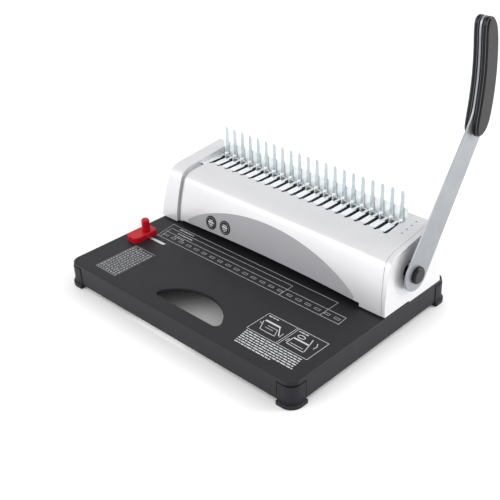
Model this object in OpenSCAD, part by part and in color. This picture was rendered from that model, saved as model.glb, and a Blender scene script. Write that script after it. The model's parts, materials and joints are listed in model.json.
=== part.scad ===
// Comb binding machine: a punch and a comb opener worked by one side lever.
// Millimetres. X runs along the machine with the lever at +X, the user stands at -Y, Z is up.
// Heights are above the table. Places along Y are from the front edge of the base, and
// placed() then moves the whole machine so that its bounding box stands centred on the origin.

/* [Base] */
// Width of the base
base_w = 369.2; // [366:0.1:374]
// Depth of the base
base_d = 272; // [268:0.5:276]
// Height of the base shell
base_h = 27.3; // [27:0.1:29]
// Radius of the base's upright corners
base_corner_r = 12; // [10:0.5:14]
// Height of the rubber corners under the shell
foot_h = 5.5; // [5:0.1:6]
// How far the lip of a rubber corner stands out
foot_lip = 3; // [2:0.1:4]

/* [Comb] */
// Distance from one comb ring to the next
pitch = 14.2875; // [14.2:0.0001:14.3]
// Number of rings
rings = 21; // [19:1:21]
// Middle of the row of slots, along X
slots_x = -3.4; // [-4:0.1:-3]
// Middle of the row of tines, along X
tines_x = -5.3; // [-6:0.1:-5]
// Width of a slot
slot_w = 5.2; // [4.6:0.1:5.4]
// Front tip of the slots
slot_front_y = 205.5; // [205:0.1:206]
// Front face of the tines
tine_y = 240.8; // [240.6:0.1:241]
// Height of the tine tips
tine_top = 141.4; // [138:0.1:144]
// Width of a tine
tine_w = 4.0; // [3.8:0.1:4.8]

/* [Lever] */
// Lever axis, along Y
pivot_y = 201; // [200.5:0.1:201.5]
// Lever axis, height
pivot_z = 70.5; // [70:0.1:71]
// Outer face of the lever bar, along X
bar_x = 190; // [189.5:0.1:191]
bar_t = 2.2;
// Lean of the lever bar to the back
bar_lean = 34.5; // [33:0.1:36]
// Height at which the grip begins
grip_low_z = 206; // [204:0.5:208]
// Height of the grip's top
grip_top_z = 339; // [338:0.5:344]

/* [Motion] */
// Punch stroke for each radian of the lever
lift_per_rad = 7.2; // [7:0.1:7.4]
// Teeth on a hook gear
gear_teeth = 25; // [25:1:25]
// Module of the hook gear's teeth
gear_module = 1.5; // [1.5:0.1:1.5]

/* [Hidden] */
$fn = 48;

// Bounding box that placed() centres
box_left = -base_w / 2 - foot_lip;
box_right = bar_x + 8;
box_front = -foot_lip;
box_back = 319.2;
mid_x = (box_left + box_right) / 2;
mid_y = (box_front + box_back) / 2;

// Base
base_top = foot_h + base_h;
top_sheet = 2;
side_sheet = 2.5;
guard_leg = 21;
guard_top = 27.5;
guard_sink = 1.5;
guard_proud = 0.8;
guard_gap = 1;
plate_sheet = 1.5;
plate_from = 124;
well_x = 2.5;
well_r = 57.6;
well_back = 59;
well_front = 20.5;
well_corner = 6;
well_rim = 5;
guide_slot_y = 103;
guide_slot_w = 6.4;
knob_y = 102;
guide_slot_x = [-171, -125];

// Die and punches
die_y = 206;
punch_size = [8, 3];
punch_play = 0.1;
paper_gap = 3.2;
die_half = 164;
upper_low = base_top + paper_gap;
upper_top = upper_low + 4;
bar_low = 51;
cam_base = 12;
cam_gap = 0.35;
bar_top = pivot_z - cam_base - cam_gap;
lever_travel = 80;
foot_r = 20.5;
rod_x_pos = 156.5;
spring_x = 60;
spring_y = 227;
arm_top = bar_low + 4;

// Frames, shaft and hooks
frame_x = 169.5;
frame_t = 3;
frame_top = 97;
shaft_r = 7;
run_play = 0.05;
gear_r = gear_teeth * gear_module / 2;
gear_x = 162.5;
gear_t = 5;
rack_pitch_z = pivot_z + gear_r;
hook_plate_z = 94;
hook_sheet = 1.5;
hook_y = 236;
hook_top = 107.8;
tie_low = 80;
tie_high = 86;

// Covers
wall = 2.5;
plate_top = 101.8;
plate_t = 0.6;
plate_front = 209;
cover_low = 34.8;
front_y0 = 152;
front_lean = 16;
front_rise = 65;
crown_z = 90;
head_back = 259;
cap_left = -184.4;
cap_inner = -156;
cover_left = -150;
block_x = 143.5;
cover_right = 180;
mouth_half = 148;
side_draft = 0.096;
seam_draft = 0.135;

function slot_x(i) = slots_x + (i - (rings - 1) / 2) * pitch;
function tine_x(i) = tines_x + (i - (rings - 1) / 2) * pitch;
function front_y(z) = front_y0 + front_lean * pow(max(z - 35, 0) / front_rise, 1.6);
function mouth_z(x) = 38.8 + 4.2 * (1 - pow(x / 150, 2));
function curve(a, b, c, t) = a * (1 - t) * (1 - t) + 2 * b * t * (1 - t) + c * t * t;
// Points of a rounded crown between the front face and a top that rises with slope
function crown(z0, z_top, slope, dy) = let(
    p0 = [front_y(z0) + dy, z0],
    lean = (front_y(z0) - front_y(z0 - 1)),
    rise = (z_top + slope * (p0[0] - 180) - z0) / (1 - slope * lean),
    p1 = [p0[0] + lean * rise, z0 + rise],
    p2 = [184, z_top + slope * 4])
    [for (k = [0:10]) curve(p0, p1, p2, k / 10)];
function face(z_low, z_high, dy) = [for (z = [z_low:(z_high - z_low) / 10:z_high - 1])
    [front_y(z) + dy, z]];
// Upright outline of the head: front face, crown, then the points given
function head_outline(z_low, z0, z_top, slope, dy, rest) =
    concat(face(z_low, z0, dy), crown(z0, z_top, slope, dy), rest);

module placed() { translate([-mid_x, -mid_y, 0]) children(); }
module box(lo, hi) { translate(lo) cube(hi - lo); }
// Extrudes an outline drawn in Y and Z from x0 to x1
module span_x(x0, x1) { translate([x0, 0, 0]) rotate([90, 0, 90]) linear_extrude(x1 - x0) children(); }
module rod_x(x0, x1, y, z, r) { translate([x0, y, z]) rotate([0, 90, 0]) cylinder(r = r, h = x1 - x0); }
module rod_z(x, y, z0, z1, r) { translate([x, y, z0]) cylinder(r = r, h = z1 - z0); }
module rounded(w, d, r) {
    translate([-w / 2, r]) square([w, d - 2 * r]);
    translate([-w / 2 + r, 0]) square([w - 2 * r, d]);
    for (x = [-1, 1], y = [r, d - r]) translate([x * (w / 2 - r), y]) circle(r);
}
// Footprint of the base, grown outwards by g
module footprint(g) { translate([0, -g]) rounded(base_w + 2 * g, base_d + 2 * g, base_corner_r + g); }
// Arc of radius r about c, from angle a0 to a1 in n steps
function arc(c, r, a0, a1, n) = [for (k = [0:n]) let(a = a0 + (a1 - a0) * k / n)
    c + r * [cos(a), sin(a)]];
// D-shaped grip cut-out with rounded corners, grown by g
module well_outline(g) {
    r = well_r + g;
    c = well_corner + g;
    rise = well_front + well_corner - well_back + well_r;
    side = sqrt(pow(r - c, 2) - rise * rise);
    turn = atan2(rise, side);
    translate([well_x, well_back - well_r]) polygon(concat(
        arc([side, rise], c, -90, turn - 3, 10), arc([0, 0], r, turn, 180 - turn, 44),
        arc([-side, rise], c, 183 - turn, 270, 10)));
}
// Corner square of a rubber corner, as long as leg on each side
module corner_square(sx, sy, leg) {
    x = sx * (base_w / 2 - leg / 2 + 5);
    y = sy > 0 ? base_d - leg / 2 + 5 : leg / 2 - 5;
    translate([x, y]) square([leg + 10, leg + 10], center = true);
}

// ---- Base ----
module base_shell() {
    color("#3f3f43") placed() difference() {
        union() {
            difference() {
                translate([0, 0, foot_h]) linear_extrude(base_h) footprint(0);
                translate([0, 0, foot_h - 1]) linear_extrude(base_h - top_sheet + 1) footprint(-side_sheet);
            }
            translate([0, 0, base_top - well_rim]) linear_extrude(well_rim) well_outline(2);
        }
        translate([0, 0, foot_h - 1]) linear_extrude(base_h + 2) well_outline(0);
        for (sx = [-1, 1], sy = [-1, 1]) guard_pocket(sx, sy);
        box([guide_slot_x[0] + guide_slot_w / 2, guide_slot_y - guide_slot_w / 2, base_top - 5],
            [guide_slot_x[1] - guide_slot_w / 2, guide_slot_y + guide_slot_w / 2, base_top + 1]);
        for (x = [guide_slot_x[0] + guide_slot_w / 2, guide_slot_x[1] - guide_slot_w / 2])
            rod_z(x, guide_slot_y, base_top - 5, base_top + 1, guide_slot_w / 2);
        box([-152, 199, base_top - 5], [152, 213, base_top + 1]);
        box([-base_w / 2 - 1, 186, foot_h + 1.6], [-base_w / 2 + 4, 226, 28.4]);
        for (x = [-177, 177], y = [178, 240]) rod_z(x, y, base_top - 3, base_top + 1, 2.1);
        for (x = [-160, 160]) rod_z(x, 197, base_top - 3, base_top + 1, 2.1);
    }
}
module guard_pocket(sx, sy) {
    translate([0, 0, foot_h - 1]) linear_extrude(guard_top + guard_gap - foot_h + 1) intersection() {
        corner_square(sx, sy, guard_leg + guard_gap);
        difference() {
            footprint(2);
            footprint(-guard_sink);
        }
    }
}
module base_plate() {
    color("#2e2e31") placed() difference() {
        translate([0, 0, foot_h]) linear_extrude(plate_sheet) footprint(-side_sheet - 0.2);
        box([-200, -10, foot_h - 1], [200, plate_from, foot_h + 4]);
        for (x = [-150, 150], y = [plate_from + 12, 240]) rod_z(x, y, foot_h - 1, foot_h + 4, 2.1);
    }
}
module base_screws() {
    color("#9a9da3") placed() for (x = [-150, 150], y = [plate_from + 12, 240]) {
        rod_z(x, y, foot_h, 14, 2);
        rod_z(x, y, foot_h - 2, foot_h, 3.6);
    }
}
// Rubber corner: a band let into the shell, with a lip that carries the machine
module rubber_corner(sx, sy) {
    color("#35363b") placed() {
        translate([0, 0, foot_h]) linear_extrude(guard_top - foot_h) intersection() {
            corner_square(sx, sy, guard_leg);
            difference() {
                footprint(guard_proud);
                footprint(-guard_sink);
            }
        }
        linear_extrude(foot_h) intersection() {
            corner_square(sx, sy, guard_leg);
            footprint(foot_lip);
        }
    }
}
module corner_front_left() { rubber_corner(-1, -1); }
module corner_front_right() { rubber_corner(1, -1); }
module corner_back_left() { rubber_corner(-1, 1); }
module corner_back_right() { rubber_corner(1, 1); }
// Drawer that catches the punched chips; its front closes the left wall of the base
module chip_tray() {
    color("#26262a") placed() difference() {
        union() {
            box([-base_w / 2 + 1, 188, foot_h + 2], [150, 224, 24]);
            box([-base_w / 2, 186.4, foot_h + 2], [-base_w / 2 + 2.2, 225.6, 28]);
        }
        box([-base_w / 2 + 3, 190, foot_h + 4], [148, 222, 30]);
        box([-base_w / 2 - 1, 198, 15], [-base_w / 2 + 1, 214, 20]);
    }
}
module edge_guide() {
    color("#c8121f") placed() difference() {
        union() {
            translate([-161.5, 77.5, base_top + 0.3]) linear_extrude(7.4) rounded(20, 37, 6);
            box([-164, 100.1, base_top - 1.6], [-156, 105.9, base_top + 0.4]);
        }
        rod_z(-160, knob_y, base_top - 4, base_top + 9, 2.05);
    }
}
module guide_knob() {
    color("#d0141f") placed() {
        rod_z(-160, knob_y, base_top + 8, base_top + 22.5, 5.2);
        translate([-160, knob_y, base_top + 22.5]) cylinder(r1 = 5.2, r2 = 3.6, h = 1.8);
        rod_z(-160, knob_y, base_top - 8, base_top + 8, 2);
    }
}
module guide_nut() {
    color("#e6e6e2") placed() difference() {
        box([-168, 94, base_top - 6], [-120, 112, base_top - 2.2]);
        rod_z(-160, knob_y, base_top - 9, base_top, 2.05);
    }
}

// ---- Die and punches ----
module punch_holes(z0, z1, grow) {
    for (i = [0:rings - 1])
        box([slot_x(i) - punch_size[0] / 2 - grow, die_y - punch_size[1] / 2 - grow, z0],
            [slot_x(i) + punch_size[0] / 2 + grow, die_y + punch_size[1] / 2 + grow, z1]);
}
module lower_die() {
    color("#8d9096") placed() difference() {
        union() {
            box([-die_half, 193, base_top - 6], [die_half, 219, base_top - top_sheet]);
            box([-151.8, 199.2, base_top - 3], [151.8, 212.8, base_top]);
        }
        punch_holes(20, 40, punch_play);
        for (x = [-160, 160]) rod_z(x, 197, 20, 40, 2.1);
    }
}
module paper_stop() { color("#8d9096") placed() box([-152, 212.9, base_top], [152, 218, upper_low]); }
module die_spacers() {
    color("#8d9096") placed() for (x = [-159, 159]) difference() {
        box([x - 5, 193, base_top], [x + 5, 211, upper_low]);
        rod_z(sign(x) * 160, 197, 20, 50, 2.1);
    }
}
module upper_guide_plate() {
    color("#9da0a6") placed() difference() {
        box([-die_half, 193, upper_low], [die_half, 219, upper_top]);
        punch_holes(30, 50, punch_play);
        for (x = [-160, 160]) rod_z(x, 197, 20, 50, 2.1);
        for (x = [-rod_x_pos, rod_x_pos]) rod_z(x, die_y, 20, 50, 2.5);
    }
}
module die_screws() {
    color("#6e7177") placed() for (x = [-160, 160]) {
        rod_z(x, 197, base_top - 6, upper_top, 2.1);
        rod_z(x, 197, upper_top, upper_top + 2.5, 2.8);
    }
}
module punch_rods() {
    color("#b9bcc2") placed() for (x = [-rod_x_pos, rod_x_pos]) rod_z(x, die_y, upper_low, 62, 2.5);
}
module punch_bar() {
    color("#74777d") placed() difference() {
        union() {
            box([-161, 200, bar_low], [161, 212, bar_top]);
            for (x = [-spring_x, spring_x]) box([x - 5, 212, bar_low], [x + 5, 232, arm_top]);
            for (x = [-110.5, 110.5]) box([x - 7, 189, bar_low], [x + 7, 200, bar_top]);
        }
        punch_holes(bar_low - 1, bar_top - 2, 0);
        for (x = [-rod_x_pos, rod_x_pos]) rod_z(x, die_y, 40, 70, 2.56);
    }
}
module punches() { color("#c6c8cc") placed() punch_holes(38, bar_top - 2, 0); }
// Two tension springs that lift the punch bar
spring_low = arm_top + 0.2;
spring_high = tie_low - 0.2;
spring_r = 3.2;
wire_r = 0.55;
turns = 9;
steps = 12;
sides = 6;
function wire_ring(j) = let(
    a = 360 * j / steps,
    z = spring_low + wire_r + (spring_high - spring_low - 2 * wire_r) * j / (turns * steps))
    [for (s = [0:sides - 1]) let(b = 360 * s / sides)
        [(spring_r + wire_r * cos(b)) * cos(a), (spring_r + wire_r * cos(b)) * sin(a),
         z + wire_r * sin(b)]];
module spring() {
    last = turns * steps;
    pts = [for (j = [0:last]) each wire_ring(j)];
    skin = [for (j = [0:last - 1], s = [0:sides - 1])
        [j * sides + s, j * sides + (s + 1) % sides, (j + 1) * sides + (s + 1) % sides, (j + 1) * sides + s]];
    ends = [[for (s = [sides - 1:-1:0]) s], [for (s = [0:sides - 1]) last * sides + s]];
    polyhedron(pts, concat(skin, ends));
}
module return_springs() {
    color("#a8abb0") placed() for (x = [-spring_x, spring_x]) translate([x, spring_y, 0]) spring();
}

// ---- Frames and drive ----
module side_frame(s) {
    color("#85888e") placed() difference() {
        union() {
            span_x(s > 0 ? frame_x : -frame_x - frame_t, s > 0 ? frame_x + frame_t : -frame_x)
                polygon([[170, base_top], [250, base_top], [250, frame_top], [184, frame_top],
                         [174, 86], [170, 60]]);
            box([s > 0 ? frame_x : -180.5, 170, base_top], [s > 0 ? 180.5 : -frame_x, 250, base_top + 3]);
        }
        rod_x(s * 171 - 5, s * 171 + 5, pivot_y, pivot_z, 9.5);
        for (y = [178, 240]) rod_z(s * 177, y, base_top - 1, base_top + 5, 2.1);
    }
}
module left_frame() { side_frame(-1); }
module right_frame() { side_frame(1); }
module frame_screws() {
    color("#6e7177") placed() for (x = [-177, 177], y = [178, 240]) {
        rod_z(x, y, base_top - 1.9, base_top + 3, 2.1);
        rod_z(x, y, base_top + 3, base_top + 5.5, 3.4);
    }
}
module tie_bar() { color("#85888e") placed() box([-frame_x, 222, tie_low], [frame_x, 232, tie_high]); }
module bushing(s) {
    color("#b8924a") placed() difference() {
        union() {
            rod_x(s * 171 - 1.5, s * 171 + 1.5, pivot_y, pivot_z, 9.5);
            rod_x(s > 0 ? 172.5 : -174, s > 0 ? 174 : -172.5, pivot_y, pivot_z, 11.5);
        }
        rod_x(s * 171 - 6, s * 171 + 6, pivot_y, pivot_z, shaft_r + run_play);
    }
}
module left_bushing() { bushing(-1); }
module right_bushing() { bushing(1); }
module main_shaft() {
    color("#a6a9af") placed() difference() {
        rod_x(-177.5, bar_x - bar_t, pivot_y, pivot_z, shaft_r);
        for (x = [-176.5, 175]) difference() {
            rod_x(x, x + 1.2, pivot_y, pivot_z, shaft_r + 1);
            rod_x(x - 1, x + 3, pivot_y, pivot_z, shaft_r - 1);
        }
        rod_x(bar_x - 16, bar_x, pivot_y, pivot_z, 3);
    }
}
module shaft_clips() {
    color("#4c4e53") placed() for (x = [-176.5, 175]) difference() {
        rod_x(x, x + 1.2, pivot_y, pivot_z, 9);
        rod_x(x - 1, x + 3, pivot_y, pivot_z, shaft_r - 1);
    }
}
// Cam whose lift on a flat bar grows evenly with the turn of the shaft
function cam_point(t) = let(a = -90 - t, h = cam_base + lift_per_rad * t * PI / 180)
    [h * cos(a) + lift_per_rad * sin(a), h * sin(a) - lift_per_rad * cos(a)];
module cam(x) {
    color("#6c7076") placed() difference() {
        translate([0, pivot_y, pivot_z]) span_x(x, x + 9) polygon(concat(
            [for (a = [90:-10:-90]) [cam_base * cos(a), cam_base * sin(a)]],
            [for (t = [0:4:lever_travel]) cam_point(t)]));
        rod_x(x - 1, x + 10, pivot_y, pivot_z, shaft_r);
    }
}
module left_cam() { cam(-115); }
module right_cam() { cam(106); }
module gear(x) {
    color("#5f6368") placed() difference() {
        union() {
            rod_x(x, x + gear_t, pivot_y, pivot_z, gear_r - 1.25 * gear_module);
            for (k = [0:gear_teeth - 1]) translate([0, pivot_y, pivot_z]) rotate([360 * k / gear_teeth, 0, 0])
                span_x(x, x + gear_t) polygon([[-1.5, gear_r - 2.4], [1.5, gear_r - 2.4],
                    [1.5, gear_r - 1.6], [0.45, gear_r + 1.2], [-0.45, gear_r + 1.2], [-1.5, gear_r - 1.6]]);
        }
        rod_x(x - 1, x + gear_t + 1, pivot_y, pivot_z, shaft_r);
    }
}
module left_gear() { gear(-gear_x - gear_t); }
module right_gear() { gear(gear_x); }
// Rack under the hook plate, cut to run with the gear; a tooth of the gear stands
// straight up at rest, so a gap of the rack is above the shaft
module rack(x) {
    step = PI * gear_module;
    color("#5f6368") placed() span_x(x, x + gear_t) difference() {
        translate([199, rack_pitch_z - 1.2]) square([40, hook_plate_z - rack_pitch_z + 1.2]);
        for (k = [-1:8]) translate([pivot_y + k * step, rack_pitch_z])
            polygon([[-1.95, -2], [1.95, -2], [0.75, 2], [-0.75, 2]]);
    }
}
module left_rack() { rack(-gear_x - gear_t); }
module right_rack() { rack(gear_x); }
// Sliding plate that carries one hook for each ring
module hook_carriage() {
    color("#5b636b") placed()
        box([-frame_x + 0.3, 213, hook_plate_z], [frame_x - 0.3, 240, hook_plate_z + hook_sheet]);
}
module hooks() {
    color("#cdd3da") placed() for (i = [0:rings - 1]) {
        box([slot_x(i) - 0.8, hook_y - 1.7, hook_plate_z + hook_sheet], [slot_x(i) + 0.8, hook_y + 1.7, hook_top]);
        box([slot_x(i) - 0.8, hook_y - 1.7, hook_top - 1.6], [slot_x(i) + 3.8, hook_y + 1.7, hook_top]);
    }
}
module rail(s) {
    color("#6e7177") placed() for (z = [[90, hook_plate_z - 0.3], [95.8, 97]])
        box([s > 0 ? frame_x - 1.7 : -frame_x, 184, z[0]], [s > 0 ? frame_x : -frame_x + 1.7, 248, z[1]]);
}
module left_rail() { rail(-1); }
module right_rail() { rail(1); }

// ---- Comb deck ----
module deck_bracket(x0, x1) {
    color("#85888e") placed() difference() {
        box([x0, 212, frame_top], [x1, 250, plate_top - plate_t]);
        box([-156, tine_y - 0.2, frame_top - 0.1], [147, 246.5, 110]);
    }
}
module left_bracket() { deck_bracket(-frame_x - frame_t, -155.5); }
module right_bracket() { deck_bracket(146.2, frame_x + frame_t); }
// Long slots for the hooks, with the wide opening at the back that lets a hook in
module slot_row(z0, z1) {
    for (i = [0:rings - 1]) {
        box([slot_x(i) - slot_w / 2, slot_front_y + slot_w / 2, z0], [slot_x(i) + slot_w / 2, 239, z1]);
        rod_z(slot_x(i), slot_front_y + slot_w / 2, z0, z1, slot_w / 2);
        box([slot_x(i) - 4.6, 230.5, z0], [slot_x(i) + 6, 239, z1]);
    }
}
module slotted_plate() {
    color("#b9c6d2") placed() difference() {
        box([cap_inner - 4.5, 200, plate_top - plate_t], [block_x - 0.2, tine_y - 0.3, plate_top]);
        slot_row(90, 110);
    }
}
module back_rail() {
    color("#c3cfd9") placed() box([cap_inner + 0.3, tine_y + 1.5, 98], [block_x + 1, tine_y + 3, 120.5]);
}
module tines() {
    foot = 2.9;
    color("#aebcc8") placed() translate([0, tine_y + 1.5, 0]) rotate([90, 0, 0]) linear_extrude(1.5) {
        translate([cap_inner + 0.3, 98]) square([block_x + 1 - cap_inner - 0.3, 5]);
        for (i = [0:rings - 1]) translate([tine_x(i), 0]) polygon([[-foot, 102], [foot, 102],
            [foot, 106], [tine_w / 2, tine_top - 1.5],
            [tine_w / 2 - 1, tine_top], [1 - tine_w / 2, tine_top], [-tine_w / 2, tine_top - 1.5],
            [-foot, 106]]);
    }
}

// ---- Covers ----
// Solid inside of the main cover's outer skin, shrunk by g, between x0 and x1
module cover_body(g, x0, x1) {
    span_x(x0, x1) polygon(head_outline(cover_low - 3 * g, crown_z - g, 100.5 - g, 0.07, g,
        [[202, 102.4 - g], [208, 103 - g], [246.5, 103 - g], [246.5, cover_low - 3 * g]]));
}
module block_body(g, x0, x1) {
    span_x(x0, x1) polygon(head_outline(cover_low - 3 * g, crown_z - g, 100.5 - g, 0.12, g,
        [[252, 109.5 - g], [252, cover_low - 3 * g]]));
}
// Upright side that leans inwards; its foot is at x, on the side s
module lean_cut(s, x, slope) {
    rotate([90, 0, 0]) mirror([s < 0 ? 1 : 0, 0, 0]) translate([0, 0, -300]) linear_extrude(300)
        polygon([[x, cover_low], [x, 0], [x + 40, 0], [x + 40, 130], [x - slope * (130 - cover_low), 130]]);
}
module main_cover() {
    color("#e9e9ec") placed() difference() {
        union() {
            cover_body(0, cover_left, block_x + 0.01);
            block_body(0, block_x, cover_right);
        }
        cover_body(wall, cover_left - 1, block_x + wall);
        block_body(wall, block_x + wall, cover_right + 1);
        // paper mouth, arched
        rotate([90, 0, 0]) translate([0, 0, -200]) linear_extrude(100) polygon(concat(
            [[mouth_half, 30], [-151, 30]], [for (x = [-151:13:mouth_half]) [x, mouth_z(x)]],
            [[mouth_half, mouth_z(mouth_half)]]));
        box([cover_left - 1, plate_front, 95], [block_x, 250, 110]);
        box([block_x - 1, tine_y - 0.2, 95], [block_x + 1.2, 250, 110]);
        slot_row(90, 110);
        box([cover_left - 1, 195, cover_low - 12], [cover_right + 1, 260, 98]);
        box([cover_left - 1, 199.5, 90], [block_x, 260, plate_top + 0.1]);
        lean_cut(1, cover_right - 0.4, seam_draft);
        for (k = [0:3]) rod_z(157, 216 + 9 * k, 102, 112, 1.2);
    }
}
// Grey panel on the front face, under a long arch
module front_panel() {
    color("#a3a4a8") placed() intersection() {
        difference() {
            span_x(-139, 143) polygon(concat(
                [for (z = [38:2:84]) [front_y(z) - 0.65, z]], [for (z = [84:-2:38]) [front_y(z) - 0.05, z]]));
        }
        rotate([90, 0, 0]) translate([0, 0, -200]) linear_extrude(100) polygon(concat(
            [for (x = [136:-8:-136]) [x + 2, mouth_z(x) + 0.2]],
            [for (x = [-138:6:138]) [x + 2, 39.5 + 42.3 * pow(1 - pow(x / 141, 2), 0.75)]]));
    }
}
module icon_discs() {
    color("#1d1d20") placed() for (p = [[-92.3, 54.5], [-67.6, 55.8]])
        translate([p[0], front_y(p[1]) - 1.08, p[1]]) rotate([90 - 10.5, 0, 0])
            cylinder(r = 9, h = 0.8, center = true);
}
module cap_outline(g, low) {
    polygon(head_outline(low, 92 - g, 104.3 - g, 0.11, g - 1.5,
        [[255 - g, 112.5 - g], [head_back - g, 108 - g], [head_back - g, low]]));
}
module left_end_cap() {
    color("#e4e4e7") placed() difference() {
        span_x(cap_left, cap_inner) cap_outline(0, cover_low);
        difference() {
            span_x(cap_left, cap_inner - 2) cap_outline(wall, cover_low - 2);
            lean_cut(-1, -cap_left - wall, side_draft);
        }
        box([cap_inner - 5, 199.5, 90], [cap_inner + 1, 250.5, plate_top + 0.1]);
        span_x(cap_inner - 3, cap_inner + 1) polygon(head_outline(cover_low - 2, crown_z - wall, 96, 0.07, wall,
            [[202, 97.5], [256.4, 97.5], [256.4, cover_low - 2]]));
        lean_cut(-1, -cap_left, side_draft);
        for (y = [196, 204, 212, 220]) translate([cap_inner - 22, y, 104.3 + 0.11 * (y - 180)])
            rotate([0, 90, 0]) cylinder(r = 0.6, h = 18);
    }
}
// Dark strip in the groove between the left cap and the main cover
module left_trim() {
    color("#77787c") placed() span_x(cap_inner, cover_left) polygon(concat(
        head_outline(cover_low, crown_z - 1, 99, 0.07, 2.6, [[199.6, 100.2]]),
        [[199.6, 98.2], [184, 97], [177, 95.9], [172.5, 92], [168.5, 84], [163.5, 72], [159.8, 56],
         [158, cover_low]]));
}
module right_end_cap() {
    color("#e6e6e9") placed() difference() {
        span_x(168, 184.4) polygon(head_outline(cover_low, crown_z, 100.7, 0.12, 0,
            [[255, 110], [head_back, 106], [head_back, foot_h + base_h], [198, foot_h + base_h],
             [198, cover_low]]));
        difference() {
            span_x(160, 184.4) polygon(head_outline(cover_low - 4, crown_z - wall, 100.7 - wall, 0.12, wall,
                [[254, 107], [256.4, 104], [256.4, cover_low - 4]]));
            lean_cut(1, 184.4 - wall, side_draft);
        }
        difference() {
            box([160, 140, 30], [190, 252.2, 120]);
            lean_cut(1, cover_right - 0.1, seam_draft);
        }
        box([160, 252, 30], [171, 270, 120]);
        lean_cut(1, 184.4, side_draft);
        rod_x(170, 190, pivot_y, pivot_z, 13);
    }
}
module rear_cover() {
    color("#dcdce0") placed() difference() {
        union() {
            box([cap_inner + 0.2, 256.5, base_top], [170.8, head_back, 106]);
            box([cap_inner + 0.2, 247, 103.5], [143.3, head_back, 106]);
        }
        for (x = [-140, 140], z = [50, 92]) translate([x, 250, z]) rotate([-90, 0, 0]) cylinder(r = 2.1, h = 20);
        for (x = [-40:16:40]) box([x - 1.2, 250, 56], [x + 1.2, 262, 84]);
    }
}
module cover_screws() {
    color("#6e7177") placed() for (x = [-140, 140], z = [50, 92]) translate([x, 0, z]) rotate([-90, 0, 0]) {
        translate([0, 0, 250]) cylinder(r = 2.1, h = head_back - 250);
        translate([0, 0, head_back]) cylinder(r = 3.6, h = 1.8);
    }
}
// Black lip that leads the sheets from the mouth to the die
module throat_liner() {
    color("#151517") placed() span_x(-147.5, 147.5)
        polygon([[156.5, 50], [158.2, 50], [159, 46], [192.8, 38], [192.8, upper_low + 0.2], [156.5, 43.6]]);
}

// ---- Lever ----
// Front and back edges of the grip at height z
function grip_t(z) = (z - grip_low_z) / (grip_top_z - grip_low_z);
function grip_mid(z) = 297.8 + 36 * grip_t(z) * (0.98 - grip_t(z));
function grip_half(z) = (13.8 - 2.2 * grip_t(z)) * sqrt(max(0, 1 - pow(abs(2 * grip_t(z) - 1), 8)));
function grip_edge(s, n) = [for (k = [0:n]) let(z = grip_low_z + (grip_top_z - grip_low_z) * (1 - cos(180 * k / n)) / 2)
    [grip_mid(z) + s * grip_half(z), z]];
module grip_outline() {
    n = 26;
    up = grip_edge(1, n);
    down = grip_edge(-1, n);
    polygon(concat(up, [for (k = [n - 1:-1:1]) down[k]]));
}
foot_low = [pivot_y - foot_r * cos(bar_lean), pivot_z + foot_r * sin(bar_lean)];
foot_back = [pivot_y + foot_r * cos(bar_lean), pivot_z - foot_r * sin(bar_lean)];
module bar_outline() {
    translate([pivot_y, pivot_z]) circle(foot_r);
    polygon([foot_low, foot_back, [314.5, grip_low_z + 3], [308, grip_low_z + 34], [292.5, grip_low_z + 34],
        [287.5, grip_low_z + 22], [279.5, grip_low_z + 10]]);
    grip_outline();
}
module lever_bar() {
    color("#b4b8c0") placed() difference() {
        span_x(bar_x - bar_t, bar_x) bar_outline();
        rod_x(bar_x - 10, bar_x + 5, pivot_y, pivot_z, 4);
        for (z = [235, 275, 315]) rod_x(bar_x - 10, bar_x + 5, grip_mid(z), z, 2.2);
    }
}
module lever_hub() {
    color("#2a2a2d") placed() difference() {
        rod_x(182.6, bar_x - bar_t, pivot_y, pivot_z, 12);
        rod_x(180, bar_x, pivot_y, pivot_z, shaft_r);
    }
}
module lever_bolt() {
    color("#8b8e94") placed() {
        rod_x(bar_x - 14, bar_x + 2.9, pivot_y, pivot_z, 3);
        rod_x(bar_x, bar_x + 2.9, pivot_y, pivot_z, 6.5);
    }
}
cap_r = 10.4;
module pivot_cap() {
    color("#1e1e21") placed() difference() {
        union() {
            rod_x(bar_x, bar_x + 3.4, pivot_y, pivot_z, cap_r);
            translate([bar_x + 3.4, pivot_y, pivot_z]) rotate([0, 90, 0]) cylinder(r1 = cap_r, r2 = cap_r - 1.6, h = 1.6);
        }
        rod_x(bar_x - 1, bar_x + 3, pivot_y, pivot_z, 8);
    }
}
module grip_half_shell(x0, x1) {
    color("#29292d") placed() difference() {
        span_x(x0, x1) grip_outline();
        for (z = [235, 275, 315]) rod_x(x0 - 1, x1 + (x0 > bar_x - 2 ? -3 : 1), grip_mid(z), z, 2.1);
    }
}
module grip_inner() { grip_half_shell(bar_x - bar_t - 8, bar_x - bar_t); }
module grip_outer() { grip_half_shell(bar_x, bar_x + 8); }
module grip_screws() {
    color("#6e7177") placed() for (z = [235, 275, 315]) {
        rod_x(bar_x - bar_t - 9.6, bar_x - bar_t - 8, grip_mid(z), z, 3.4);
        rod_x(bar_x - bar_t - 8, bar_x + 4.9, grip_mid(z), z, 2.1);
    }
}

base_shell();
base_plate();
base_screws();
corner_front_left();
corner_front_right();
corner_back_left();
corner_back_right();
chip_tray();
edge_guide();
guide_knob();
guide_nut();
lower_die();
paper_stop();
die_spacers();
upper_guide_plate();
die_screws();
punch_rods();
punch_bar();
punches();
return_springs();
left_frame();
right_frame();
frame_screws();
tie_bar();
left_bushing();
right_bushing();
main_shaft();
shaft_clips();
left_cam();
right_cam();
left_gear();
right_gear();
left_rack();
right_rack();
hook_carriage();
hooks();
left_rail();
right_rail();
left_bracket();
right_bracket();
slotted_plate();
back_rail();
tines();
main_cover();
front_panel();
icon_discs();
left_end_cap();
left_trim();
right_end_cap();
rear_cover();
cover_screws();
throat_liner();
lever_hub();
lever_bar();
lever_bolt();
pivot_cap();
grip_inner();
grip_outer();
grip_screws();
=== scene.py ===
import json
import math

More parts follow.
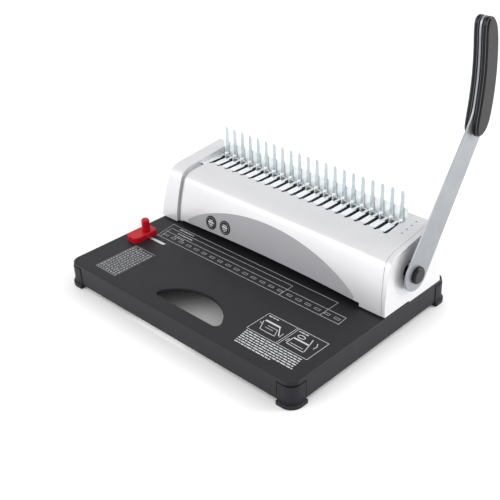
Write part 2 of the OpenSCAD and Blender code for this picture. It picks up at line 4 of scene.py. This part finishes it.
import bmesh
import bpy
from mathutils import Matrix, Vector


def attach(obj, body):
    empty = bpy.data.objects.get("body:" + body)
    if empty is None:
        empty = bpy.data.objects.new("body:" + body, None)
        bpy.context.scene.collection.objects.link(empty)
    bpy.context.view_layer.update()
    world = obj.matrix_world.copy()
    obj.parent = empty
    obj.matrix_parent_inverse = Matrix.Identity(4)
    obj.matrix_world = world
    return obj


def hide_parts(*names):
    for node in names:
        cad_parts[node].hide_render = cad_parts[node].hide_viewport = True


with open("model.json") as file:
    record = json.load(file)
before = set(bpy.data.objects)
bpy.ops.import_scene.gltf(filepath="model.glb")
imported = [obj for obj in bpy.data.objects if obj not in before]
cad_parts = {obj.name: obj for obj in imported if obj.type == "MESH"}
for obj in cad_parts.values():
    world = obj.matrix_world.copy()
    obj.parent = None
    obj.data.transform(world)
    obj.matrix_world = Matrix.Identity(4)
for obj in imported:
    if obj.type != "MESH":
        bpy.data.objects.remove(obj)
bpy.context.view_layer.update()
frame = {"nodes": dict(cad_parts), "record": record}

MM = 0.001
# The CAD frame is centred on the whole machine. Places below are in millimetres from the
# middle of the base and from its front edge, and MID is the frame's centre measured so.
MID_X = 5.2
MID_Y = 158.1
BASE_DEPTH = 272.0
BASE_TOP = 32.8
PITCH = 14.2875
HOLES = 21


def at(x, y, z):
    """A place on the machine in millimetres, as a point of the CAD frame in metres."""
    return Vector(((x - MID_X) * MM, (y - MID_Y) * MM, z * MM))


# ---------------------------------------------------------------- materials
# How many patches of colour and of wear a metre of plastic has, and how high its grain
# and the drawn lines of a metal stand, in metres.
PLASTIC_PATCH = 22.0
PLASTIC_WEAR = 70.0
GRAIN_HEIGHT = 0.0003
LINE_HEIGHT = 0.0002


def new_material(name):
    mat = bpy.data.materials.new(name)
    mat.use_nodes = True
    tree = mat.node_tree
    shader = tree.nodes["Principled BSDF"]
    coords = tree.nodes.new("ShaderNodeTexCoord")
    return mat, tree, shader, coords


def noise(tree, coords, scale, detail=3.0, rough=0.55, stretch=None):
    tex = tree.nodes.new("ShaderNodeTexNoise")
    tex.inputs["Scale"].default_value = scale
    tex.inputs["Detail"].default_value = detail
    tex.inputs["Roughness"].default_value = rough
    if stretch:
        mapping = tree.nodes.new("ShaderNodeMapping")
        mapping.inputs["Scale"].default_value = stretch
        tree.links.new(coords.outputs["Object"], mapping.inputs["Vector"])
        tree.links.new(mapping.outputs["Vector"], tex.inputs["Vector"])
    else:
        tree.links.new(coords.outputs["Object"], tex.inputs["Vector"])
    return tex.outputs["Fac"]


def ramp(tree, fac, stops):
    node = tree.nodes.new("ShaderNodeValToRGB")
    band = node.color_ramp
    while len(band.elements) < len(stops):
        band.elements.new(0.5)
    for element, (place, colour) in zip(band.elements, stops):
        element.position = place
        element.color = (*colour, 1.0)
    tree.links.new(fac, node.inputs["Fac"])
    return node.outputs["Color"]


def spread(tree, fac, low, high):
    node = tree.nodes.new("ShaderNodeMapRange")
    node.inputs["To Min"].default_value = low
    node.inputs["To Max"].default_value = high
    tree.links.new(fac, node.inputs["Value"])
    return node.outputs["Result"]


def bump(tree, shader, height, strength, distance, under=None):
    node = tree.nodes.new("ShaderNodeBump")
    node.inputs["Strength"].default_value = strength
    node.inputs["Distance"].default_value = distance
    tree.links.new(height, node.inputs["Height"])
    if under:
        tree.links.new(under, node.inputs["Normal"])
    tree.links.new(node.outputs["Normal"], shader.inputs["Normal"])
    return node.outputs["Normal"]


def tint(colour, factor):
    return tuple(min(1.0, c * factor) for c in colour)


def patchy_colour(tree, shader, coords, scale, dark, light, detail=4.0):
    """Soft patches between two shades, as the surface's colour."""
    shade = ramp(tree, noise(tree, coords, scale, detail), [(0.3, dark), (0.7, light)])
    tree.links.new(shade, shader.inputs["Base Color"])


def uneven_gloss(tree, shader, fac, low, high):
    tree.links.new(spread(tree, fac, low, high), shader.inputs["Roughness"])


def moulded_plastic(name, colour, gloss, grain, depth, mottle=0.05, shine=0.5):
    """Injection-moulded plastic: a fine spark grain, soft patches of colour and sheen."""
    mat, tree, shader, coords = new_material(name)
    patchy_colour(tree, shader, coords, PLASTIC_PATCH, tint(colour, 1 - mottle), tint(colour, 1 + mottle))
    uneven_gloss(tree, shader, noise(tree, coords, PLASTIC_WEAR, 5.0), gloss - mottle, gloss + mottle)
    shader.inputs["Specular IOR Level"].default_value = shine
    bump(tree, shader, noise(tree, coords, grain, 2.0), depth, GRAIN_HEIGHT)
    return mat


def silver_plastic():
    """Silver-white painted plastic: nearly even, with a soft metallic sheen."""
    mat, tree, shader, coords = new_material("silver_white_plastic")
    patchy_colour(tree, shader, coords, PLASTIC_PATCH, (0.655, 0.655, 0.672), (0.675, 0.675, 0.692))
    uneven_gloss(tree, shader, noise(tree, coords, PLASTIC_WEAR, 5.0), 0.33, 0.36)
    bump(tree, shader, noise(tree, coords, 1400.0, 2.0), 0.03, GRAIN_HEIGHT)
    shader.inputs["Metallic"].default_value = 0.4
    return mat


def drawn_metal(name, colour, gloss, stretch, depth=0.12, metal=1.0):
    """Sheet or bar with the fine lines that rolling and grinding leave."""
    mat, tree, shader, coords = new_material(name)
    lines = noise(tree, coords, 260.0, 3.0, 0.6, stretch)
    patchy_colour(tree, shader, coords, 35.0, tint(colour, 0.93), tint(colour, 1.07))
    uneven_gloss(tree, shader, lines, gloss - 0.07, gloss + 0.1)
    bump(tree, shader, lines, depth, LINE_HEIGHT)
    shader.inputs["Metallic"].default_value = metal
    return mat


def zinc_sheet(name, dull, bright, metal):
    """Blue passivated zinc: faint spangle, a cool tint and bright lines."""
    mat, tree, shader, coords = new_material(name)
    cells = tree.nodes.new("ShaderNodeTexVoronoi")
    cells.inputs["Scale"].default_value = 330.0
    tree.links.new(coords.outputs["Object"], cells.inputs["Vector"])
    shade = ramp(tree, cells.outputs["Color"], [(0.1, dull), (0.95, bright)])
    tree.links.new(shade, shader.inputs["Base Color"])
    lines = noise(tree, coords, 240.0, 3.0, 0.6, (1.0, 1.0, 0.15))
    uneven_gloss(tree, shader, lines, 0.22, 0.36)
    bump(tree, shader, lines, 0.08, LINE_HEIGHT)
    shader.inputs["Metallic"].default_value = metal
    return mat


def leather_grain(name, colour, gloss, cell, depth, shine=0.24):
    """Charcoal plastic with a fine pebbled grain."""
    mat, tree, shader, coords = new_material(name)
    cells = tree.nodes.new("ShaderNodeTexVoronoi")
    cells.feature = "DISTANCE_TO_EDGE"
    cells.inputs["Scale"].default_value = cell
    tree.links.new(coords.outputs["Object"], cells.inputs["Vector"])
    pebble = spread(tree, cells.outputs["Distance"], 0.0, 2.2)
    patchy_colour(tree, shader, coords, 14.0, tint(colour, 0.93), tint(colour, 1.08))
    uneven_gloss(tree, shader, noise(tree, coords, 40.0, 5.0), gloss - 0.05, gloss + 0.07)
    shader.inputs["Specular IOR Level"].default_value = shine
    fine = noise(tree, coords, cell * 1.7, 2.0)
    first = bump(tree, shader, pebble, depth, LINE_HEIGHT)
    bump(tree, shader, fine, depth * 0.5, 0.0001, first)
    return mat


def fluted_grip(name, flat_colour, rim_colour, ridge_highlight_colour, gloss):
    """Grip plastic: glossy black rims and sides, a paler grooved flat face, and a painted highlight line
    along the chamfer ridges, each colour picked by which way a face points.
    """
    mat, tree, shader, coords = new_material(name)
    waves = tree.nodes.new("ShaderNodeTexWave")
    waves.bands_direction = "Y"
    waves.inputs["Scale"].default_value = 130.0
    waves.inputs["Distortion"].default_value = 0.6
    waves.inputs["Detail"].default_value = 1.0
    tree.links.new(coords.outputs["Object"], waves.inputs["Vector"])
    axes = tree.nodes.new("ShaderNodeSeparateXYZ")
    tree.links.new(coords.outputs["Normal"], axes.inputs["Vector"])
    size = tree.nodes.new("ShaderNodeMath")
    size.operation = "ABSOLUTE"
    tree.links.new(axes.outputs["X"], size.inputs[0])
    flat = ramp(tree, size.outputs["Value"], [(0.86, (0.0, 0.0, 0.0)), (0.97, (1.0, 1.0, 1.0))])
    shade = ramp(tree, noise(tree, coords, 30.0, 4.0),
                 [(0.3, tint(flat_colour, 0.93)), (0.7, tint(flat_colour, 1.07))])
    mix = tree.nodes.new("ShaderNodeMix")
    mix.data_type = "RGBA"
    # Faces that lean between the rim and the flat face, along the chamfer ridges, get a paler colour: a
    # painted highlight line.
    rim = ramp(tree, size.outputs["Value"], [(0.12, rim_colour), (0.3, ridge_highlight_colour),
                                             (0.5, ridge_highlight_colour), (0.64, rim_colour)])
    tree.links.new(rim, mix.inputs["A"])
    tree.links.new(flat, mix.inputs["Factor"])
    tree.links.new(shade, mix.inputs["B"])
    tree.links.new(mix.outputs["Result"], shader.inputs["Base Color"])
    uneven_gloss(tree, shader, flat, gloss, gloss + 0.25)
    shader.inputs["Specular IOR Level"].default_value = 0.22
    bump(tree, shader, waves.outputs["Fac"], 0.3, GRAIN_HEIGHT)
    return mat


LOOKS = {
    "charcoal": leather_grain("charcoal_case", (0.0125, 0.0118, 0.0148), 0.44, 900.0, 0.16),
    "rubber_grey": leather_grain("corner_rubber", (0.010, 0.010, 0.014), 0.5, 1300.0, 0.2),
    "black_plastic": moulded_plastic("black_plastic", (0.006, 0.006, 0.007), 0.3, 1100.0, 0.1, shine=0.3),
    "screw_steel": drawn_metal("screw_steel", (0.5, 0.51, 0.53), 0.3, (1.0, 1.0, 6.0)),
    "red_plastic": moulded_plastic("red_plastic", (0.42, 0.002, 0.010), 0.28, 900.0, 0.08,
                                   mottle=0.04, shine=0.25),
    "tool_steel": drawn_metal("tool_steel", (0.42, 0.43, 0.45), 0.34, (0.2, 1.0, 1.0)),
    "spring_steel": drawn_metal("spring_steel", (0.55, 0.56, 0.58), 0.25, (1.0, 1.0, 4.0)),
    "frame_steel": drawn_metal("frame_steel", (0.5, 0.53, 0.56), 0.36, (1.0, 0.2, 1.0)),
    "bronze": drawn_metal("bronze", (0.55, 0.36, 0.16), 0.35, (4.0, 1.0, 1.0)),
    "shaft_steel": drawn_metal("shaft_steel", (0.58, 0.59, 0.6), 0.22, (5.0, 1.0, 1.0)),
    "zinc_sheet": zinc_sheet("zinc_sheet", (0.58, 0.64, 0.67), (0.68, 0.73, 0.75), 0.5),
    # Lit and shaded copies of the zinc: the paler one is painted highlight, the darker one for the tines
    # is painted shade.
    "zinc_painted_highlight": zinc_sheet("zinc_painted_highlight", (0.80, 0.83, 0.84), (0.86, 0.88, 0.89), 0.2),
    "zinc_painted_shade": zinc_sheet("zinc_painted_shade", (0.50, 0.57, 0.60), (0.56, 0.63, 0.66), 0.45),
    # Near-black colour of the hook carriage, darker than the steel itself: painted shade for the slots and
    # hook pockets above it.
    "carriage_steel": drawn_metal("carriage_steel", (0.014, 0.016, 0.018), 0.4, (0.2, 1.0, 1.0), 0.1, 0.4),
    "slider_plastic": moulded_plastic("slider_plastic", (0.78, 0.78, 0.76), 0.4, 1200.0, 0.05),
    "white_plastic": silver_plastic(),
    "grey_panel": moulded_plastic("grey_panel", (0.31, 0.31, 0.327), 0.45, 1400.0, 0.03, mottle=0.02),
    "trim_grey": moulded_plastic("trim_grey", (0.42, 0.42, 0.44), 0.42, 1200.0, 0.08),
    "lever_paint": drawn_metal("lever_paint", (0.29, 0.305, 0.325), 0.36, (1.0, 0.3, 0.3), 0.05, 0.55),
    # The third colour is the painted highlight along the grip's chamfer ridges.
    "grip_plastic": fluted_grip("grip_plastic", (0.024, 0.021, 0.023), (0.003, 0.003, 0.005),
                                (0.13, 0.13, 0.14), 0.2),
}
SLOT_OF = {s["node"]: s["material_slot"] for s in frame["record"]["subparts"]}
BODY_OF = {node: body for body, nodes in frame["record"]["behaviour"]["bodies"].items() for node in nodes}
# Pieces dressed in lit and shaded copies of the zinc that their slot names: a paler copy as painted
# highlight on the plate, back rail and hooks, and a darker copy as painted shade on the tines.
LIT_AND_SHADED_ZINC = {"slotted_plate": "zinc_painted_highlight", "back_rail": "zinc_painted_highlight", "hooks": "zinc_painted_highlight",
            "tines": "zinc_painted_shade"}


def dress(obj, node):
    obj.data.materials.clear()
    obj.data.materials.append(LOOKS[LIT_AND_SHADED_ZINC.get(node, SLOT_OF[node])])


for node_name, node_obj in frame["nodes"].items():
    dress(node_obj, node_name)


# ---------------------------------------------------------------- rounding the CAD pieces
SHARP_ANGLE = math.radians(32.0)
SMOOTH_ANGLE = math.radians(35.0)
FLAT_ANGLE = math.radians(0.4)


def rounded_copy(node, rules):
    """A copy of a CAD piece with chosen edges rounded, standing for it.

    Each rule is (radius in mm, segments, test); the test gets an edge's middle and its
    direction in millimetres, and the first rule that holds rounds the edge. A fourth
    member makes the rule round the edges of an earlier rule's chamfer as well."""
    mesh = frame["nodes"][node].data.copy()
    obj = bpy.data.objects.new(node + "_rounded", mesh)
    bpy.context.collection.objects.link(obj)
    work = bmesh.new()
    work.from_mesh(mesh)
    bmesh.ops.remove_doubles(work, verts=work.verts, dist=2e-6)
    bmesh.ops.dissolve_limit(work, angle_limit=FLAT_ANGLE, verts=work.verts,
                             edges=work.edges, delimit={"NORMAL"})
    for radius, segments, test, *second in rules:
        chosen = []
        for edge in work.edges:
            if len(edge.link_faces) != 2 or edge.calc_face_angle(0.0) < SHARP_ANGLE:
                continue
            if edge.tag and not second:
                continue
            first, last = (place_of(v.co) for v in edge.verts)
            if test((first + last) / 2, last - first):
                chosen.append(edge)
        if chosen:
            made = bmesh.ops.bevel(work, geom=chosen, offset=radius * MM, segments=segments, profile=0.5,
                                   affect="EDGES", clamp_overlap=True)
            for face in made["faces"]:
                for edge in face.edges:
                    edge.tag = True
    work.to_mesh(mesh)
    work.free()
    bpy.ops.object.select_all(action="DESELECT")
    obj.select_set(True)
    bpy.context.view_layer.objects.active = obj
    bpy.ops.object.shade_smooth_by_angle(angle=SMOOTH_ANGLE)
    even = obj.modifiers.new("even_normals", "WEIGHTED_NORMAL")
    even.keep_sharp = True
    bpy.ops.object.modifier_apply(modifier=even.name)
    dress(obj, node)
    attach(obj, BODY_OF[node])
    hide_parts(node)


def place_of(point):
    """A point of the CAD frame, as millimetres from the base's middle and front edge."""
    return Vector((point.x / MM + MID_X, point.y / MM + MID_Y, point.z / MM))


LEVEL = 0.01
SIDE_EDGE = 184.0
EDGE_BAND = 0.6
WELL_SIDE = 171.5
WELL_DEPTH = 13.0


def on_top(mid, run):
    return mid.z > BASE_TOP - 0.1 and abs(run.z) < LEVEL


def base_rim(mid, run):
    """The base's outer edges, and the edges of the four wells that hold the corners."""
    in_well = abs(mid.x) > WELL_SIDE and (mid.y < WELL_DEPTH or mid.y > BASE_DEPTH - WELL_DEPTH)
    outside = abs(mid.x) > SIDE_EDGE or mid.y < EDGE_BAND or mid.y > BASE_DEPTH - EDGE_BAND
    return on_top(mid, run) and (in_well or outside)


def cutout_rim(mid, run):
    return on_top(mid, run) and 18 < mid.y < 61 and abs(mid.x) < 60


def anywhere(mid, run):
    return True


def slot_rim(mid, run):
    return on_top(mid, run) and 98 < mid.y < 108


GRIP_SCREWS = [(303.8, 235.0), (306.4, 275.0), (302.5, 315.0)]
CLEAR_OF_SCREW = 8.0


def grip_outline(mid, run):
    """The grip's outer edges, but not the rims of its screw holes."""
    clear = all(math.hypot(mid.y - y, mid.z - z) > CLEAR_OF_SCREW for y, z in GRIP_SCREWS)
    return abs(run.x) < 0.1 and clear


def knob_top(mid, run):
    return mid.z > 54.0


def guide_top(mid, run):
    return mid.z > 40.0 and abs(run.z) < LEVEL


ROUNDED = {
    "base_shell": [(2.4, 5, base_rim), (1.3, 4, cutout_rim), (0.5, 2, slot_rim)],
    "corner_front_left": [(0.8, 3, anywhere)], "corner_front_right": [(0.8, 3, anywhere)],
    "corner_back_left": [(0.8, 3, anywhere)], "corner_back_right": [(0.8, 3, anywhere)],
    "edge_guide": [(1.6, 4, guide_top), (0.4, 2, anywhere)],
    "guide_knob": [(0.9, 3, knob_top), (0.4, 2, anywhere)],
    "main_cover": [(0.35, 2, anywhere)], "front_panel": [(0.12, 1, anywhere)],
    "icon_discs": [(0.2, 2, anywhere)], "left_end_cap": [(0.9, 3, anywhere)],
    "right_end_cap": [(0.8, 3, anywhere)], "left_trim": [(0.3, 2, anywhere)],
    "rear_cover": [(0.7, 3, anywhere)], "slotted_plate": [(0.15, 1, anywhere)],
    "hooks": [(0.25, 2, anywhere)], "tines": [(0.25, 2, anywhere)], "back_rail": [(0.3, 2, anywhere)],
    "lever_bar": [(0.5, 3, anywhere)], "pivot_cap": [(0.6, 3, anywhere)],
    "grip_inner": [(2.0, 1, grip_outline), (0.5, 2, grip_outline, "again")],
    "grip_outer": [(2.0, 1, grip_outline), (0.5, 2, grip_outline, "again")],
    "chip_tray": [(0.5, 2, anywhere)], "lever_hub": [(0.4, 2, anywhere)],
}
for node_name, rules in ROUNDED.items():
    rounded_copy(node_name, rules)


def add_sill():
    """Plain strip over the open step between the right block and the rear cover. The CAD
    has no such piece: the step should be closed in the rear cover, and this one dropped."""
    low, high = at(143.4, 252.1, 103.6), at(170.7, 256.4, 105.9)
    bpy.ops.object.select_all(action="DESELECT")
    bpy.ops.mesh.primitive_cube_add(size=1.0, location=(low + high) / 2, scale=high - low)
    sill = bpy.context.active_object
    bpy.ops.object.transform_apply(location=True, rotation=True, scale=True)
    sill.name = "rear_sill"
    sill.data.materials.append(LOOKS["white_plastic"])
    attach(sill, "machine")


add_sill()


# ---------------------------------------------------------------- printing on the base
PRINT_WHITE = moulded_plastic("print_white", (0.52, 0.53, 0.55), 0.5, 1500.0, 0.03)
PRINT_GREY = moulded_plastic("print_grey", (0.34, 0.35, 0.36), 0.5, 1500.0, 0.03)
INK_HEIGHT = 0.06


def printed(name, bars, ink):
    """One flat printed piece on the base's top, made of bars (x, y, length, width, degrees)."""
    bpy.ops.object.select_all(action="DESELECT")
    for count, (x, y, length, width, degrees) in enumerate(bars):
        bpy.ops.mesh.primitive_cube_add(size=1.0, location=at(x, y, BASE_TOP + INK_HEIGHT / 2),
                                        rotation=(0.0, 0.0, math.radians(degrees)),
                                        scale=(length * MM, width * MM, INK_HEIGHT * MM))
        if count == 0:
            obj = bpy.context.active_object
            bpy.ops.object.transform_apply(location=True, rotation=True, scale=True)
            bpy.ops.object.mode_set(mode="EDIT")
    bpy.ops.object.mode_set(mode="OBJECT")
    obj.name = name
    obj.data.materials.clear()
    obj.data.materials.append(ink)
    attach(obj, "machine")


def stroke(x0, y0, x1, y1, width=0.5):
    """A bar from one place to another."""
    return ((x0 + x1) / 2, (y0 + y1) / 2, math.hypot(x1 - x0, y1 - y0), width,
            math.degrees(math.atan2(y1 - y0, x1 - x0)))


def frame_of(x0, y0, x1, y1, width=0.5):
    return [stroke(x0, y0, x1, y0, width), stroke(x1, y0, x1, y1, width),
            stroke(x1, y1, x0, y1, width), stroke(x0, y1, x0, y0, width)]


def dashes(x0, x1, y, width, seed):
    """A row of dashes of uneven lengths, along X."""
    row, x, step = [], x0, seed
    while x < x1 - 1.5:
        step = (step * 37 + 11) % 101
        length = min(1.8 + step * 0.055, x1 - x)
        row.append((x + length / 2, y, length, width, 0.0))
        x += length + 1.1
    return row


def print_scale():
    """The paper scale: nested size lines with one outline for each hole."""
    bars = [stroke(-156, 144.2, 125, 144.3), stroke(-149, 135.6, 62.5, 136.3),
            stroke(-150, 126.7, 150, 126.7), stroke(-150, 112, 152, 112),
            stroke(62.5, 112, 62.5, 136), stroke(124.6, 112, 124.6, 144), stroke(151.5, 112, 150.5, 127),
            stroke(-156, 144.2, -149.6, 108.6), stroke(-149.2, 135.6, -146, 112)]
    first_hole, half_hole = -142.2, 3.7
    for i in range(HOLES):
        x = first_hole + PITCH * i
        bars += frame_of(x - half_hole, 117.8, x + half_hole, 120.8, 0.4)
    bars += dashes(-139, -112, 140.3, 1.5, 5) + dashes(-133, -106, 131.4, 1.5, 9)
    bars += dashes(-131, -112, 123.8, 1.0, 3)
    printed("printed_scale", bars, PRINT_WHITE)


def print_table():
    """The sheet table on the left: close rows of short dashes in a thin frame."""
    bars = frame_of(-150, 14, -113, 76, 0.5)
    for k in range(8):
        x = -147.6 + 4.6 * k
        y, step = 15.5, 7 + 13 * k
        while y < 73:
            step = (step * 29 + 17) % 97
            length = 1.4 + step * 0.03
            bars.append((x, y + length / 2, length, 1.7, 90.0))
            y += length + 1.3
        bars.append(stroke(x + 2.3, 14, x + 2.3, 76, 0.25))
    for y in (66.0, 58.5, 24.0):
        bars.append(stroke(-150, y, -113, y, 0.3))
    printed("printed_table", bars, PRINT_GREY)


def print_steps():
    """Two step pictures with plain machine shapes, and rows of dashes under them."""
    bars = frame_of(80, 42, 167, 78, 0.6) + [stroke(122.8, 42, 122.8, 78, 0.6),
                                             stroke(125.4, 42, 125.4, 78, 0.6)]
    bars += dashes(83, 98, 74.6, 1.6, 4) + dashes(128, 143, 74.6, 1.6, 8)
    # first picture: sheets pushed into a machine
    bars += [stroke(86, 66, 108, 66, 2.6), stroke(108, 65, 117, 53, 1.2), stroke(85, 64, 92, 50, 0.8),
             stroke(92, 50, 114, 50, 0.8), stroke(95, 60, 109, 60, 0.7), stroke(109, 60, 113, 51, 0.7),
             stroke(94, 56, 106, 56, 0.6), stroke(118, 60, 119, 52, 0.7), stroke(83, 60, 88, 58, 0.7)]
    # second picture: the lever pulled over
    bars += [stroke(131, 62, 153, 62, 2.2), stroke(131, 62, 131, 50, 0.9), stroke(153, 62, 156, 50, 0.9),
             stroke(131, 50, 156, 49, 0.9), stroke(134, 53, 152, 53, 0.7), stroke(153, 62, 150, 72, 1.0),
             stroke(158, 70, 161, 65, 0.9), stroke(161, 65, 160, 60, 0.9), stroke(129, 58, 128, 52, 0.8)]
    sides, across, up = 10, 5.0, 2.6
    corners = [(137 + across * math.cos(math.tau * k / sides), 68 + up * math.sin(math.tau * k / sides))
               for k in range(sides + 1)]
    bars += [stroke(*first, *last, 1.1) for first, last in zip(corners, corners[1:])]
    ends = [163, 166, 165, 166, 164, 166, 138]
    for k, end in enumerate(ends):
        bars += dashes(82.5 + 0.6 * k, end, 38.6 - 3.55 * k, 1.6, 3 + 7 * k)
    printed("printed_steps", bars, PRINT_WHITE)


def disc_face(z):
    """How far back the face of an icon disc lies on the curved front, at a height."""
    cover = 152 + 16 * ((z - 35) / 65) ** 1.6
    panel_proud, disc_proud = 1.08, 0.42
    return cover - panel_proud - disc_proud


def print_icons():
    """Plain rings and bars on the two black discs of the front panel."""
    lean = math.radians(10.5)
    for number, (x, z) in enumerate(((-92.3, 54.5), (-67.6, 55.8))):
        centre = at(x, disc_face(z), z)
        turn = Matrix.Rotation(math.pi / 2 - lean, 4, "X")
        bpy.ops.object.select_all(action="DESELECT")
        bpy.ops.mesh.primitive_torus_add(major_radius=7.3 * MM, minor_radius=0.12 * MM,
                                         major_segments=48, minor_segments=6)
        ring = bpy.context.active_object
        bpy.ops.object.mode_set(mode="EDIT")
        for v, width, length in ((3.2, 1.3, 6.5), (0.6, 2.2, 9.5), (-2.4, 1.2, 8.0), (-4.6, 0.8, 4.0)):
            bpy.ops.mesh.primitive_cube_add(size=1.0, location=(0.0, v * MM, 0.0),
                                            scale=(length * MM, width * MM, 0.12 * MM))
        bpy.ops.object.mode_set(mode="OBJECT")
        ring.data.transform(Matrix.Translation(centre) @ turn)
        ring.name = f"icon_print_{number + 1}"
        ring.data.materials.append(PRINT_WHITE)
        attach(ring, "machine")


print_scale()
print_table()
print_steps()
print_icons()


# ---------------------------------------------------------------- floor, light, camera
def add_stage():
    bpy.ops.mesh.primitive_plane_add(size=8.0, location=(0.0, 0.0, 0.0))
    floor = bpy.context.active_object
    floor.name = "pale_floor"
    mat, tree, shader, coords = new_material("pale_floor")
    patchy_colour(tree, shader, coords, 3.0, (0.96, 0.96, 0.96), (0.975, 0.975, 0.975), detail=3.0)
    shader.inputs["Roughness"].default_value = 0.6
    floor.data.materials.append(mat)
    world = bpy.data.worlds.new("studio")
    world.use_nodes = True
    world.node_tree.nodes["Background"].inputs["Color"].default_value = (1.0, 1.0, 1.0, 1.0)
    world.node_tree.nodes["Background"].inputs["Strength"].default_value = 0.92
    bpy.context.scene.world = world


def softbox(name, place, target, size, power):
    data = bpy.data.lights.new(name, "AREA")
    data.shape = "RECTANGLE"
    data.size, data.size_y = size
    data.energy = power
    lamp = bpy.data.objects.new(name, data)
    lamp.location = place
    lamp.rotation_euler = (Vector(target) - Vector(place)).to_track_quat("-Z", "Y").to_euler()
    bpy.context.collection.objects.link(lamp)


# Where the camera stands, and how it is tilted up, rolled and turned, in degrees.
CAMERA_PLACE = (656.08, -508.32, 601.39)
CAMERA_ANGLES = (59.329, 0.525, 41.759)


def add_camera():
    data = bpy.data.cameras.new("studio_camera")
    data.sensor_width = 36.0
    data.lens = 64.36
    data.shift_x = -0.10
    data.clip_start = 0.05
    camera = bpy.data.objects.new("studio_camera", data)
    camera.location = at(*CAMERA_PLACE)
    camera.rotation_euler = [math.radians(angle) for angle in CAMERA_ANGLES]
    bpy.context.collection.objects.link(camera)
    bpy.context.scene.camera = camera


add_stage()
bpy.context.scene.view_settings.view_transform = "Standard"
softbox("key_back_right", (1.1, 1.0, 1.2), (0.0, 0.0, 0.1), (0.7, 0.7), 10.0)
softbox("low_back_right", (1.3, 1.3, 0.45), (0.1, 0.0, 0.1), (0.18, 0.18), 9.0)
softbox("fill_front", (-0.7, -1.7, 0.9), (0.0, 0.0, 0.1), (1.9, 1.3), 20.0)
add_camera()
